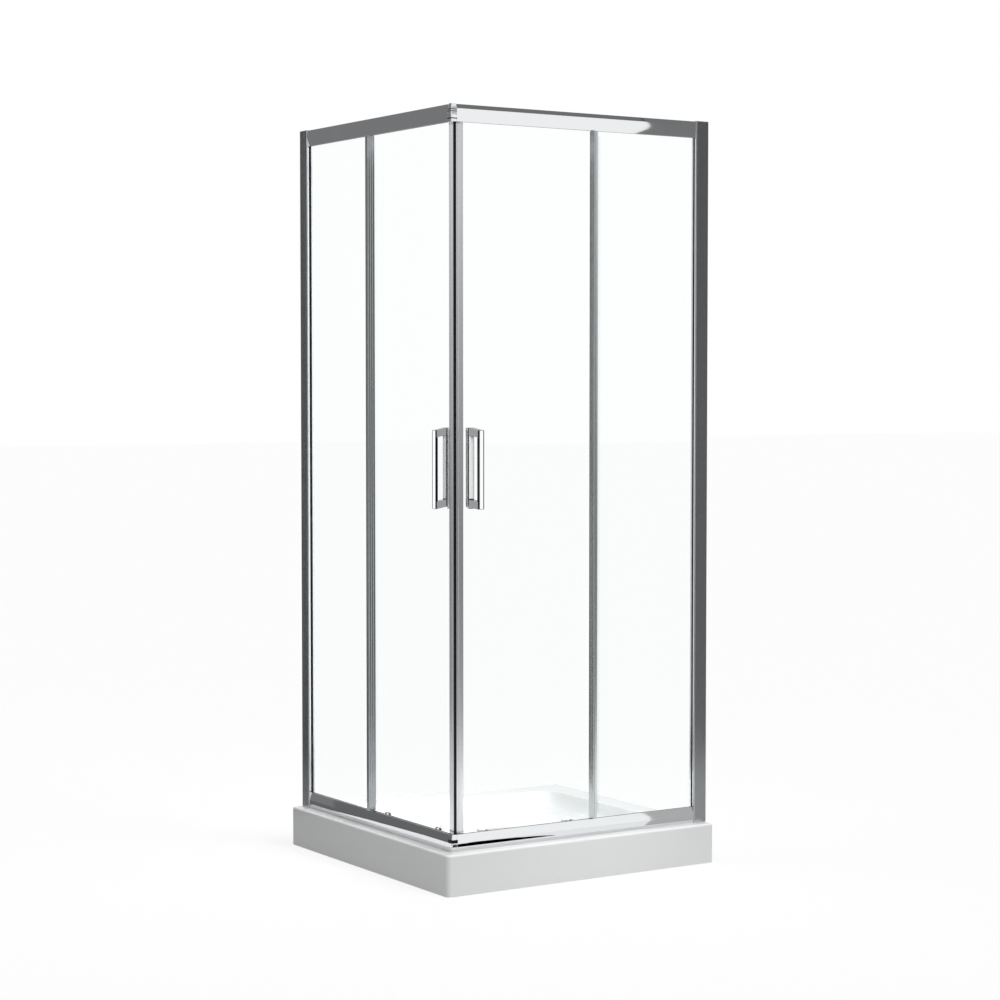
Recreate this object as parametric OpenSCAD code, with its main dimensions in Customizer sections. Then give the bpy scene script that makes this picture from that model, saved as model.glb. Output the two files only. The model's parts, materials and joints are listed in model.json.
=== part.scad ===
// Square corner-entry shower stall: a tray on feet, two fixed glass panels, and
// two glass doors that roll apart from the corner on rails above and below.
//
// Each side of the stall is drawn in its own flat frame: u runs along the side from
// the entry corner to the wall, v runs inward from the tray's outer face, z is up.
// The right side has u along +X and v along +Y, and the left side is its mirror
// image across the diagonal of the tray.

/* [Tray] */
// Width of the tray along X
tray_w = 800; // [720:10:1000]
// Depth of the tray along Y
tray_d = 800; // [720:10:1000]
// Height of the tray's rim above the floor
tray_h = 102; // [96:1:140]
// Thickness of the moulded shell
tray_shell = 4; // [3:0.5:5]
// Radius of the upright edge at the entry corner
tray_corner_r = 14; // [9:1:20]
// Radius of the upright edges at the walls
tray_wall_corner_r = 3; // [1:0.5:6]
// Radius of the outer top edge
tray_edge_r = 6; // [3:0.5:8]
// Width of the flat rim round the basin
rim_w = 74; // [72:1:90]
// Depth of the basin below the rim
basin_depth = 40; // [30:1:44]
// Radius of the basin's upright corners
basin_corner_r = 60; // [30:1:90]
// Radius between the basin's walls and its floor
basin_floor_r = 30; // [6:1:34]

/* [Tray support] */
// Thickness of the stiffening board bonded under the basin
board_t = 12; // [9:1:15]
// Distance from the board's edge to the basin's edge
board_margin = 24; // [16:1:40]
// Radius of a foot's pad
foot_r = 24; // [18:1:30]
// Height of a foot's pad
foot_h = 10; // [8:1:14]
// Radius of a foot's threaded rod
foot_rod_r = 5; // [4:0.5:6]
// Distance from a foot's centre to the board's edges
foot_inset = 60; // [45:1:90]

/* [Waste] */
// Radius of the hole in the basin floor
waste_hole_r = 45; // [42:0.5:47]
// Radius of the cover that hides the waste
waste_cover_r = 56; // [52:0.5:60]
// Outer radius of the outlet tail
waste_tail_r = 20; // [16:0.5:22]
// Distance that the outlet tail reaches from the trap's centre
waste_tail_reach = 120; // [90:5:200]

/* [Frame] */
// Height of the frame above the tray's rim
frame_h = 1800; // [1500:10:2000]
// Distance from the tray's outer face to the front of the rails
rail_v = 31; // [28:0.5:36]
// Depth of a rail's body
rail_d = 19; // [18.5:0.5:21]
// Height of a rail
rail_h = 41; // [40:0.5:44]
// Radius of a rail's bulged front
rail_front_r = 110; // [100:5:160]
// Wall thickness of the extrusions
wall_t = 1.6; // [1.4:0.1:1.8]
// Height of the running arm above a rail's base
arm_h = 24; // [23.5:0.5:25]
// Thickness of the running arm
arm_t = 3; // [2.5:0.5:3.5]
// Radius of the bead that the wheels run on
bead_r = 1.5; // [1.2:0.1:1.7]
// Side of the square corner joints
corner_w = 17.4; // [17:0.2:20]
// Distance that the corner joints stand proud of the rails
corner_proud = 1.5; // [0.5:0.5:3]
// Length of a corner joint's legs inside the rails
corner_leg = 24; // [18:1:40]

/* [Fixed panels] */
// Thickness of the fixed glass
fixed_t = 5; // [4:0.5:5]
// Distance from the front of the rails to the fixed glass
fixed_setback = 6; // [5.5:0.25:6.5]
// Width of the right fixed panel between the wall profile and the middle post
fixed_w = 317; // [280:1:360]
// Width that the left fixed panel has more than the right one
left_extra_w = 11.5; // [0:0.5:20]
// Width of the wall profile along the side
wall_profile_w = 37; // [28:1:44]
// Depth of the wall profile
wall_profile_d = 21.6; // [21:0.1:24]
// Distance that the wall profile stands in front of the rails
wall_profile_proud = 1.4; // [0.5:0.1:3]
// Distance that the panel profile stands out of the wall profile
panel_reveal = 2; // [1:0.5:8]
// Width of the middle post
post_w = 11; // [9:0.5:14]
// Depth of the middle post
post_d = 21; // [20:0.5:24]
// Distance that the middle post stands in front of the rails
post_proud = 4; // [3:0.25:4.5]
// Thickness of the black gasket beside the fixed glass
gasket_t = 1.6; // [1.2:0.1:1.8]
// Number of screws in a wall profile
wall_screw_n = 3; // [2:1:4]
// Distance from the frame's ends to the first screw
wall_screw_end = 150; // [80:5:250]

/* [Doors] */
// Thickness of the door glass
door_t = 5; // [4:0.5:6]
// Distance from the back of the rails to the door glass
door_air = 6; // [5.5:0.25:7]
// Distance from the rail's base or top to the edge of the door glass
door_edge_h = 30; // [29:0.5:32]
// Overlap of the door glass behind the right middle post
door_overlap = 23; // [15:1:40]
// Width of the upright profile on a door's closing edge
stile_w = 20; // [18:0.5:28]
// Depth of the upright profile on a door's closing edge
stile_d = 15; // [13:0.5:18]
// Width of the mitre gap that the two magnetic seals fill, measured along a side
magnet_gap = 5; // [4:0.5:7]

/* [Rollers] */
// Radius of a wheel at the bottom of its groove
wheel_groove_r = 8.5; // [8:0.1:8.6]
// Radius of a wheel's axle
axle_r = 2; // [1.5:0.1:2.2]
// Width of a wheel
wheel_w = 6; // [5:0.5:6.5]
// Distance from a door's ends to its wheels
wheel_inset = 86.5; // [60:0.5:110]
// Distance that a release button travels down
release_travel = 3.5; // [2.5:0.1:3.6]

/* [Handles] */
// Height of the middle of a handle's base bar above the tray's rim
handle_z = 930.5; // [600:0.5:1200]
// Length of a handle
handle_l = 192; // [140:1:300]
// Width of a handle's bars
handle_w = 16; // [12:0.5:20]
// Depth of the bar that is gripped
grip_d = 7; // [6:0.5:9]
// Distance from the base bar to the grip, square to the glass
grip_out = 19; // [16:0.5:22]
// Distance from the base bar to the grip, along the glass
grip_side = 16.5; // [0:0.5:25]
// Distance that the grip hangs below the base bar
grip_drop = 6; // [0:0.5:10]
// Distance from the entry corner to the middle of the base bar
handle_u = 99; // [92:0.5:120]
// Distance left between the grip and the middle post when a door is open
handle_stop_gap = 15.5; // [8:0.5:40]

/* [Hidden] */

fine = 96;
reach = 4000;
fit_gap = 0.3;
running_gap = 0.05;
track_gap = 0.1;

rim_z = tray_h;
top_z = tray_h + frame_h;
clear_z0 = rim_z + rail_h + fit_gap;
clear_z1 = top_z - rail_h - fit_gap;

// Depths (v) of the layers, from the tray's outer face inward
fixed_v0 = rail_v + fixed_setback;
fixed_v1 = fixed_v0 + fixed_t;
rail_back_v = rail_v + rail_d;
door_v0 = rail_back_v + door_air;
door_v1 = door_v0 + door_t;
stile_v0 = rail_back_v + 1;
bead_v = door_v1 + wheel_w / 2;
arm_v1 = bead_v + 4;
plate_v0 = arm_v1 + 1.5;
plate_t = 3.5;
wall_v0 = rail_v - wall_profile_proud;
post_v0 = rail_v - post_proud;
joint_v = rail_v - 2.4;

// The entry corner's pieces along a side (u)
joint_u1 = joint_v + corner_w;
stile_u0 = stile_v0 + magnet_gap;
stile_u1 = stile_u0 + stile_w;
slot_d = 6;
wheel_u_front = stile_u0 + wheel_inset;

// The wheels: the bead lies in their groove with a small gap
wheel_r = wheel_groove_r + 1.2;
groove_cut_r = bead_r + track_gap;
axle_h = arm_h - bead_r - track_gap - wheel_groove_r;
axle_hole_r = axle_r + running_gap;
axle_head_r = axle_r + 1.2;

// Basin and support heights
basin_z = tray_h - basin_depth;
board_z1 = basin_z - tray_shell;
board_z0 = board_z1 - board_t;
nut_h = 8;

// The tray's length along a side: 0 is the right side and 1 the left side
function side_len(side) = side == 0 ? tray_w : tray_d;
function profile_u(side) = side_len(side) - wall_profile_w - panel_reveal;
function post_u(side) = profile_u(side) - fixed_w - side * left_extra_w;
function door_u1(side) = profile_u(side) - fixed_w + post_w + door_overlap;
function wheel_u_rear(side) = door_u1(side) - wheel_inset;
grip_u1 = handle_u + grip_side + handle_w / 2;
function door_travel(side) = post_u(side) - grip_u1 - handle_stop_gap;

// Puts a shape drawn in a side's own frame in its place
module on_side(side) {
    translate([-tray_w / 2, -tray_d / 2, 0])
        if (side == 0) children();
        else mirror([1, -1, 0]) children();
}

// Extrudes an outline drawn as (v, height) along u
module along_u(u0, u1) {
    translate([u0, 0, 0])
        rotate([90, 0, 90])
            linear_extrude(u1 - u0) children();
}

// Extrudes an outline drawn as (u, v) upward
module upright(z0, z1) {
    translate([0, 0, z0])
        linear_extrude(z1 - z0) children();
}

// A round bar along v
module bar_v(u, z, v0, v1, r) {
    translate([u, v0, z])
        rotate([-90, 0, 0])
            cylinder(h = v1 - v0, r = r, $fn = fine);
}

// A box given by its two ends along each direction
module block(u, v, z) {
    translate([u[0], v[0], z[0]])
        cube([u[1] - u[0], v[1] - v[0], z[1] - z[0]]);
}

// Hangs a shape drawn from the rim upward under the top of the frame
module at_top() {
    translate([0, 0, top_z]) mirror([0, 0, 1]) children();
}

module at_rim() {
    translate([0, 0, rim_z]) children();
}

// A rectangle with round corners, drawn from (x0, y0) to (x1, y1)
module round_box(x0, y0, x1, y1, r) {
    translate([x0 + r, y0]) square([x1 - x0 - 2 * r, y1 - y0]);
    translate([x0, y0 + r]) square([x1 - x0, y1 - y0 - 2 * r]);
    for (x = [x0 + r, x1 - r], y = [y0 + r, y1 - r])
        translate([x, y]) circle(r = r, $fn = fine);
}

// The outline of a box seen from a side, with a top edge of radius edge
module side_outline(half, h, edge) {
    translate([-half, 0]) square([2 * half, h - edge]);
    translate([-half + edge, 0]) square([2 * half - 2 * edge, h]);
    for (x = [-half + edge, half - edge])
        translate([x, h - edge]) circle(r = edge, $fn = fine);
}

// Extrudes a side outline along Y and along X, centred on length l
module outline_along_y(l, half, h, edge) {
    rotate([90, 0, 0])
        translate([0, 0, -l / 2]) linear_extrude(l) side_outline(half, h, edge);
}

module outline_along_x(l, half, h, edge) {
    rotate([90, 0, 90])
        translate([0, 0, -l / 2]) linear_extrude(l) side_outline(half, h, edge);
}

// An upright round post with a rounded top edge
module soft_post(r, h, edge) {
    rotate_extrude($fn = fine)
        intersection() {
            side_outline(r, h, edge);
            square([r, h]);
        }
}

// A box w by d by h on its centre with upright corners of radius r and a top edge of radius edge
module soft_box(w, d, h, r, edge) {
    outline_along_y(d - 2 * r, w / 2, h, edge);
    outline_along_x(w - 2 * r, d / 2, h, edge);
    for (x = [-1, 1], y = [-1, 1])
        translate([x * (w / 2 - r), y * (d / 2 - r), 0]) soft_post(r, h, edge);
}

// What is cut away to round an upright edge that stands at the origin
module corner_waste(r) {
    difference() {
        translate([-1, -1, -1]) cube([r + 1, r + 1, tray_h + 2]);
        translate([r, r, 0]) children();
    }
}

// Tray: a moulded shell, hollow below, with a sunken basin, and an arch in the skirt
// along the left side's wall, where the waste pipe leaves
pipe_gap_r = waste_tail_r + 20;

module pipe_gap() {
    y0 = tray_d / 2 - tray_shell - 1;
    translate([0, y0, tail_z])
        rotate([-90, 0, 0]) cylinder(h = tray_shell + 2, r = pipe_gap_r, $fn = fine);
    block([-pipe_gap_r, pipe_gap_r], [y0, y0 + tray_shell + 2], [-1, tail_z]);
}

module basin(grow) {
    translate([0, 0, tray_h])
        mirror([0, 0, 1])
            translate([0, 0, -basin_depth])
                soft_box(tray_w - 2 * rim_w + 2 * grow, tray_d - 2 * rim_w + 2 * grow,
                         2 * basin_depth + grow, basin_corner_r + grow, basin_floor_r + grow);
}

module tray_outside() {
    difference() {
        intersection() {
            outline_along_y(tray_d, tray_w / 2, tray_h, tray_edge_r);
            outline_along_x(tray_w, tray_d / 2, tray_h, tray_edge_r);
        }
        translate([-tray_w / 2, -tray_d / 2, 0])
            corner_waste(tray_corner_r) soft_post(tray_corner_r, tray_h, tray_edge_r);
        for (way = [[1, -1], [1, 1], [-1, 1]])
            translate([way[0] * tray_w / 2, way[1] * tray_d / 2, 0])
                mirror([way[0] > 0 ? 1 : 0, 0, 0])
                    mirror([0, way[1] > 0 ? 1 : 0, 0])
                        corner_waste(tray_wall_corner_r)
                            translate([0, 0, -2])
                                cylinder(h = tray_h + 4, r = tray_wall_corner_r, $fn = fine);
    }
}

module tray() {
    color("whitesmoke")
        difference() {
            tray_outside();
            basin(0);
            translate([0, 0, -tray_shell])
                difference() {
                    soft_box(tray_w - 2 * tray_shell, tray_d - 2 * tray_shell, tray_h,
                             tray_corner_r - tray_shell, 1);
                    translate([0, 0, tray_shell]) basin(tray_shell);
                }
            cylinder(h = tray_h, r = waste_hole_r, $fn = fine);
            pipe_gap();
        }
}

// Board under the basin floor, with holes for the trap and the feet's rods, and a slot
// over the waste pipe
board_w = tray_w - 2 * rim_w - 2 * board_margin;
board_d = tray_d - 2 * rim_w - 2 * board_margin;
board_corner_r = 20;
trap_r = waste_hole_r + 8;
pipe_slot_half = waste_tail_r + 6;

module at_feet() {
    for (x = [-1, 1], y = [-1, 1])
        translate([x * (board_w / 2 - foot_inset), y * (board_d / 2 - foot_inset), 0]) children();
}

module tray_board() {
    color("burlywood")
        difference() {
            upright(board_z0, board_z1)
                round_box(-board_w / 2, -board_d / 2, board_w / 2, board_d / 2, board_corner_r);
            translate([0, 0, board_z0 - 1])
                cylinder(h = board_t + 2, r = trap_r + 6, $fn = fine);
            block([-pipe_slot_half, pipe_slot_half], [0, board_d / 2 + 1],
                  [board_z0 - 1, board_z1 + 1]);
            at_feet()
                translate([0, 0, board_z0 - 1])
                    cylinder(h = board_t + 2, r = foot_rod_r + fit_gap, $fn = fine);
        }
}

module foot_pads() {
    color("dimgray")
        at_feet()
            difference() {
                union() {
                    cylinder(h = foot_h / 2, r = foot_r, $fn = fine);
                    cylinder(h = foot_h, r = foot_r * 0.6, $fn = fine);
                }
                translate([0, 0, foot_h / 2]) cylinder(h = foot_h, r = foot_rod_r + fit_gap, $fn = fine);
            }
}

module foot_rods() {
    color("silver")
        at_feet() {
            translate([0, 0, foot_h / 2])
                cylinder(h = board_z1 - foot_h / 2, r = foot_rod_r, $fn = fine);
            translate([0, 0, board_z0 - nut_h])
                cylinder(h = nut_h, r = foot_rod_r * 1.85, $fn = 6);
        }
}

// Waste: a low trap clamped to the hole in the basin floor, with a tail along +Y
waste_flange_t = 3;
trap_z0 = 4;
trap_z1 = board_z1 - waste_flange_t;
tail_z = trap_z0 + waste_tail_r + 1;
tail_neck_r = waste_tail_r - 1;
spigot_l = 64;
cup_r = waste_hole_r - 3;

module waste_body() {
    color("lightgray")
        difference() {
            union() {
                translate([0, 0, trap_z0]) cylinder(h = trap_z1 - trap_z0, r = trap_r, $fn = fine);
                translate([0, 0, tail_z])
                    rotate([-90, 0, 0]) {
                        cylinder(h = waste_tail_reach, r = tail_neck_r, $fn = fine);
                        translate([0, 0, waste_tail_reach - spigot_l])
                            cylinder(h = spigot_l, r = waste_tail_r, $fn = fine);
                    }
            }
            translate([0, 0, trap_z0 + 3]) cylinder(h = trap_z1, r = trap_r - 3, $fn = fine);
            translate([0, 0, tail_z])
                rotate([-90, 0, 0])
                    cylinder(h = waste_tail_reach + 1, r = tail_neck_r - 2, $fn = fine);
        }
}

module waste_seal() {
    color("dimgray")
        translate([0, 0, trap_z1])
            difference() {
                cylinder(h = waste_flange_t, r = trap_r, $fn = fine);
                translate([0, 0, -1]) cylinder(h = waste_flange_t + 2, r = waste_hole_r, $fn = fine);
            }
}

// A domed cover that stands on small feet, with a skirt that drops into the trap
cover_lift = 4;
cover_edge = 2;
cover_dome_h = 5;
cover_skirt = 10;

module waste_cover() {
    dome_r = (waste_cover_r * waste_cover_r + cover_dome_h * cover_dome_h) / (2 * cover_dome_h);
    color("silver")
        translate([0, 0, basin_z]) {
            translate([0, 0, cover_lift])
                rotate_extrude($fn = fine)
                    intersection() {
                        translate([0, cover_edge + cover_dome_h - dome_r])
                            circle(r = dome_r, $fn = 360);
                        square([waste_cover_r, cover_edge + cover_dome_h + 1]);
                    }
            for (turn = [0 : 90 : 270])
                rotate(turn)
                    translate([waste_cover_r - 6, 0, 0]) cylinder(h = cover_lift + 1, r = 3, $fn = fine);
            translate([0, 0, -cover_skirt])
                difference() {
                    cylinder(h = cover_skirt + cover_lift + 1, r = cup_r, $fn = fine);
                    translate([0, 0, -1])
                        cylinder(h = cover_skirt + cover_lift + 1, r = cup_r - 2, $fn = fine);
                }
        }
}

// Wall profile: a channel screwed to the wall, open towards the entry corner
module at_wall_screws(side) {
    step = (frame_h - 2 * wall_screw_end) / (wall_screw_n - 1);
    for (i = [0 : wall_screw_n - 1])
        translate([0, 0, rim_z + wall_screw_end + i * step]) children();
}

wall_screw_r = 2.75;
wall_mid_v = wall_v0 + wall_profile_d / 2;
wall_v1 = wall_v0 + wall_profile_d;

module wall_profile(side) {
    u1 = side_len(side);
    u0 = u1 - wall_profile_w;
    color("silver")
        on_side(side)
            difference() {
                upright(rim_z, top_z)
                    difference() {
                        round_box(u0, wall_v0, u1, wall_v1, 0.6);
                        translate([u0 - 1, wall_v0 + wall_t])
                            square([wall_profile_w + 1 - wall_t, wall_profile_d - 2 * wall_t]);
                    }
                at_wall_screws(side)
                    translate([u1 - wall_t - 1, wall_mid_v, 0])
                        rotate([0, 90, 0]) cylinder(h = wall_t + 2, r = wall_screw_r, $fn = fine);
                at_profile_screws()
                    bar_v(u1 - profile_screw_u, 0, wall_v1 - wall_t - 1, wall_v1 + 1,
                          profile_screw_r + fit_gap);
            }
}

// Screws from inside the cabin that lock the panel profile in the wall profile
profile_screw_r = 1.9;
profile_screw_head = 1.2;
profile_screw_u = 21;
profile_screw_end = 100;
profile_screw_raise = 60;

module at_profile_screws() {
    for (z = [rim_z + profile_screw_end, (rim_z + top_z) / 2 + profile_screw_raise,
              top_z - profile_screw_end])
        translate([0, 0, z]) children();
}

module profile_screws() {
    color("gainsboro")
        for (side = [0, 1])
            on_side(side)
                at_profile_screws() {
                    bar_v(side_len(side) - profile_screw_u, 0, wall_v1 - wall_t - 4, wall_v1,
                          profile_screw_r);
                    bar_v(side_len(side) - profile_screw_u, 0, wall_v1, wall_v1 + profile_screw_head, 3.4);
                }
}

// Panel profile: slides in the wall profile and grips the fixed glass
panel_v0 = wall_v0 + wall_t + fit_gap;
panel_v1 = wall_v1 - wall_t - fit_gap;
panel_grip = 20;
panel_back = 8;

module panel_profile(side) {
    u0 = profile_u(side);
    u1 = side_len(side) - panel_back;
    slot_v0 = fixed_v0 - gasket_t;
    slot_v1 = fixed_v1 + gasket_t;
    color("silver")
        on_side(side)
            difference() {
                upright(rim_z, top_z)
                    difference() {
                        translate([u0, panel_v0]) square([u1 - u0, panel_v1 - panel_v0]);
                        translate([u0 - 1, slot_v0]) square([panel_grip + 2, slot_v1 - slot_v0]);
                        translate([u0 + wall_t, slot_v1 + wall_t])
                            square([u1 - u0 - 2 * wall_t, panel_v1 - slot_v1 - 2 * wall_t]);
                    }
                at_profile_screws()
                    bar_v(side_len(side) - profile_screw_u, 0, wall_v1 - wall_t - 5, wall_v1,
                          profile_screw_r + fit_gap);
            }
}

module fixed_glass(side) {
    color([0.86, 0.94, 0.93, 0.35])
        on_side(side)
            block([post_u(side) + 3, profile_u(side) + panel_grip], [fixed_v0, fixed_v1],
                  [rim_z + groove_h + fit_gap, top_z - groove_h - fit_gap]);
}

module glass_gasket(side) {
    u0 = profile_u(side);
    color("black")
        on_side(side)
            for (v = [fixed_v0 - gasket_t, fixed_v1])
                block([u0, u0 + 12], [v, v + gasket_t], [clear_z0, clear_z1]);
}

// Caps that close the wall profiles at the top
module profile_caps() {
    color("silver")
        for (side = [0, 1])
            on_side(side)
                upright(top_z, top_z + corner_proud)
                    round_box(profile_u(side), wall_v0, side_len(side), wall_v1, 1);
}

// Middle post: the profile on the fixed glass's free edge, between the rails
module middle_post(side) {
    u0 = post_u(side);
    color("silver")
        on_side(side)
            upright(clear_z0, clear_z1)
                difference() {
                    round_box(u0, post_v0, u0 + post_w, post_v0 + post_d, 1.5);
                    translate([u0 + 3 - fit_gap, fixed_v0 - fit_gap])
                        square([post_w, fixed_t + 2 * fit_gap]);
                    translate([u0 + wall_t, post_v0 + wall_t])
                        square([post_w - 2 * wall_t, fixed_v0 - post_v0 - 2 * wall_t - fit_gap]);
                }
}

// Clear lip on the middle post that wipes the door glass
module post_seal(side) {
    u0 = post_u(side) + 2;
    v0 = post_v0 + post_d;
    color([0.9, 0.95, 0.95, 0.5])
        on_side(side)
            upright(clear_z0 + 10, clear_z1 - 10) {
                translate([u0, v0]) square([post_w - 4, 1]);
                translate([u0 + 3, v0]) square([1.2, door_v0 - fit_gap - v0]);
            }
}

// Rails: bulged front, a groove for the fixed glass, and an arm with a running bead
groove_h = 20;
back_wall_h = 30;
bulge_h = 12;
rail_web = 2.5;
chamber_h1 = groove_h - 2;

module rail_outline() {
    lip_v = fixed_v0 - fit_gap;
    ledge_v = fixed_v1 + fit_gap;
    difference() {
        union() {
            intersection() {
                translate([rail_v + rail_front_r, bulge_h]) circle(r = rail_front_r, $fn = 360);
                translate([rail_v, 0]) square([rail_d, rail_h]);
            }
            translate([rail_back_v - 1, arm_h]) square([arm_v1 - rail_back_v + 1, arm_t]);
            translate([bead_v, arm_h]) circle(r = bead_r, $fn = fine);
        }
        translate([lip_v, groove_h]) square([ledge_v - lip_v, rail_h]);
        translate([ledge_v + wall_t, back_wall_h]) square([rail_d, rail_h]);
        translate([rail_v + 3, rail_web])
            square([rail_d - 3 - wall_t - 0.4, chamber_h1 - rail_web]);
        intersection() {
            translate([rail_v + rail_front_r, bulge_h]) circle(r = rail_front_r - wall_t, $fn = 360);
            translate([rail_v, groove_h]) square([lip_v - wall_t - rail_v, 14]);
        }
    }
}

corner_screw_u = joint_u1 + 12;
corner_screw_v = (rail_v + rail_back_v) / 2 - 1;
corner_screw_r = 2;

// A rail from the corner joint to the panel profile, mitred where it would meet the other side's
module rail(side) {
    mitre = fit_gap;
    difference() {
        along_u(joint_u1, profile_u(side)) rail_outline();
        upright(-1, rail_h + 1)
            polygon([[0, -mitre], [reach, reach - mitre], [0, reach - mitre]]);
        // the arm starts behind the door's closing profile
        block([0, stile_u0], [rail_back_v, arm_v1 + 1], [-1, rail_h + 1]);
        translate([corner_screw_u, corner_screw_v, -1]) {
            cylinder(h = rail_web + 2, r = corner_screw_r + fit_gap, $fn = fine);
            cylinder(h = 2.6, r = 3.8, $fn = fine);
        }
    }
}

module top_rail(side) {
    color("silver") on_side(side) at_top() rail(side);
}

module bottom_rail(side) {
    color("silver") on_side(side) at_rim() rail(side);
}

// Corner joint: a stepped square body with a leg into each rail
module corner_joint(proud) {
    groove_z = [11, 28];
    groove_w = 2;
    groove_d = 1;
    module leg() {
        difference() {
            block([joint_u1, joint_u1 + corner_leg],
                  [rail_v + 3 + fit_gap, joint_u1 - fit_gap],
                  [rail_web + fit_gap, chamber_h1 - fit_gap]);
            translate([corner_screw_u, corner_screw_v, 0])
                cylinder(h = rail_web + 8, r = corner_screw_r + running_gap, $fn = fine);
        }
    }
    color("silver")
        translate([-tray_w / 2, -tray_d / 2, 0]) {
            difference() {
                upright(-proud, rail_h + 1)
                    round_box(joint_v, joint_v, joint_u1, joint_u1, 2.5);
                for (z = groove_z)
                    upright(z, z + groove_w)
                        difference() {
                            square([joint_u1, joint_u1]);
                            translate([joint_v + groove_d, joint_v + groove_d])
                                square([corner_w, corner_w]);
                        }
            }
            leg();
            mirror([1, -1, 0]) leg();
        }
}

module top_corner_joint() {
    at_top() corner_joint(corner_proud);
}

module bottom_corner_joint() {
    at_rim() corner_joint(0);
}

module corner_screws() {
    module screw() {
        translate([corner_screw_u, corner_screw_v, 0]) {
            cylinder(h = 1.4, r = 3.4, $fn = fine);
            translate([0, 0, 1]) cylinder(h = rail_web + 6, r = corner_screw_r, $fn = fine);
        }
    }
    color("gainsboro")
        for (side = [0, 1])
            on_side(side) {
                at_top() screw();
                at_rim() screw();
            }
}

// Rubber stops on the top rails' arms, beyond the wheels at both ends of the travel
stop_l = 12;
stop_h = 10;

module door_stops() {
    color("dimgray")
        for (side = [0, 1])
            on_side(side)
                at_top()
                    for (u = [wheel_u_front - wheel_r - fit_gap - stop_l,
                              wheel_u_rear(side) + door_travel(side) + wheel_r + fit_gap])
                        along_u(u, u + stop_l)
                            difference() {
                                translate([rail_back_v, arm_h - stop_h])
                                    square([arm_v1 - rail_back_v, stop_h]);
                                translate([bead_v, arm_h])
                                    circle(r = bead_r + track_gap, $fn = fine);
                            }
}

// Door glass, drilled for the handle and for its two bottom housings
low_hole_h = 36.5;
glass_hole_r = 3;
handle_hole_r = 5;
door_z0 = rim_z + door_edge_h;
door_z1 = top_z - door_edge_h;
handle_bolt_half = handle_l / 2 - 16;

module door_glass(side) {
    color([0.86, 0.94, 0.93, 0.35])
        on_side(side)
            difference() {
                block([stile_u1 - slot_d, door_u1(side)], [door_v0, door_v1], [door_z0, door_z1]);
                for (u = [wheel_u_front, wheel_u_rear(side)])
                    bar_v(u, rim_z + low_hole_h, door_v0 - 1, door_v1 + 1, glass_hole_r);
                for (dz = [-1, 1])
                    bar_v(handle_u, rim_z + handle_z + dz * handle_bolt_half,
                          door_v0 - 1, door_v1 + 1, handle_hole_r);
            }
}

// Closing profile: mitred at the corner, with a slot for the glass and a groove for the magnet
module door_stile(side) {
    stile_v1 = stile_v0 + stile_d;
    root_v = stile_v0 + stile_d / 2;
    color("silver")
        on_side(side)
            upright(door_z0, door_z1)
                difference() {
                    polygon([[stile_u0, stile_v0], [stile_u1, stile_v0], [stile_u1, stile_v1],
                             [stile_u0 + stile_d, stile_v1]]);
                    translate([stile_u1 - slot_d - fit_gap, door_v0 - fit_gap])
                        square([slot_d + 1, door_t + 2 * fit_gap]);
                    magnet_root(root_v, 0.1);
                }
}

// The foot of the magnetic seal, which is pushed into the closing profile's groove
module magnet_root(v, grow) {
    translate([v + magnet_gap, v])
        rotate(45)
            translate([-1.5 - grow, -1.8 - grow]) square([3 + 2 * grow, 3.6 + grow]);
}

module magnet_seal(side) {
    v0 = stile_v0 + 1;
    v1 = stile_v0 + stile_d - 3;
    root_v = stile_v0 + stile_d / 2;
    color("black")
        on_side(side)
            upright(door_z0, door_z1) {
                polygon([[v0 + fit_gap, v0], [v0 + magnet_gap, v0], [v1 + magnet_gap, v1],
                         [v1 + fit_gap, v1]]);
                intersection() {
                    magnet_root(root_v, 0);
                    translate([root_v - 3, root_v - 8]) square([magnet_gap + 8, 14]);
                }
            }
}

// Clear seal clipped on a door's rear edge, with a lip towards the fixed panel
module tail_seal(side) {
    u1 = door_u1(side);
    seal_t = 1.1;
    color([0.9, 0.95, 0.95, 0.5])
        on_side(side)
            upright(clear_z0 + 10, clear_z1 - 10) {
                difference() {
                    translate([u1 - 8, door_v0 - seal_t])
                        square([8 + seal_t, door_t + 2 * seal_t]);
                    translate([u1 - 9, door_v0]) square([9, door_t]);
                }
                translate([u1, door_v0 - seal_t - 2]) square([seal_t, 3]);
            }
}

// Handle: a base bar on the glass, two slanting arms, and a grip that stands out to the side
base_t = 4;
arm_l = 18;

module handle_shape() {
    z0 = rim_z + handle_z - handle_l / 2;
    z1 = z0 + handle_l;
    half = handle_w / 2;
    base_v = door_v0 - base_t;
    grip_v = base_v + base_t / 2 - grip_out;
    grip_u = handle_u + grip_side;
    difference() {
        union() {
            upright(z0, z1)
                translate([handle_u - half, base_v]) square([handle_w, base_t]);
            upright(z0 - grip_drop, z1 - grip_drop)
                round_box(grip_u - half, grip_v - grip_d / 2, grip_u + half, grip_v + grip_d / 2, 2);
            for (z = [z0, z1 - arm_l])
                intersection() {
                    upright(z - grip_drop - 1, z + arm_l + 1)
                        polygon([[handle_u - half, base_v + 1], [handle_u + half, base_v + 1],
                                 [grip_u + half, grip_v], [grip_u - half, grip_v]]);
                    along_u(handle_u - half - 1, grip_u + half + 1)
                        polygon([[base_v + 1, z], [base_v + 1, z + arm_l],
                                 [grip_v, z + arm_l - grip_drop], [grip_v, z - grip_drop]]);
                }
        }
        for (dz = [-1, 1])
            bar_v(handle_u, rim_z + handle_z + dz * handle_bolt_half, base_v + 1, door_v0 + 1,
                  bolt_r + running_gap);
    }
}

// Mirrors a shape from the outer face of the door glass to its inner face
module inner_face() {
    translate([0, door_v0 + door_v1, 0]) mirror([0, 1, 0]) children();
}

bolt_r = 2.5;

module outer_handle(side) {
    color("silver") on_side(side) handle_shape();
}

module inner_handle(side) {
    color("silver") on_side(side) inner_face() handle_shape();
}

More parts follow.
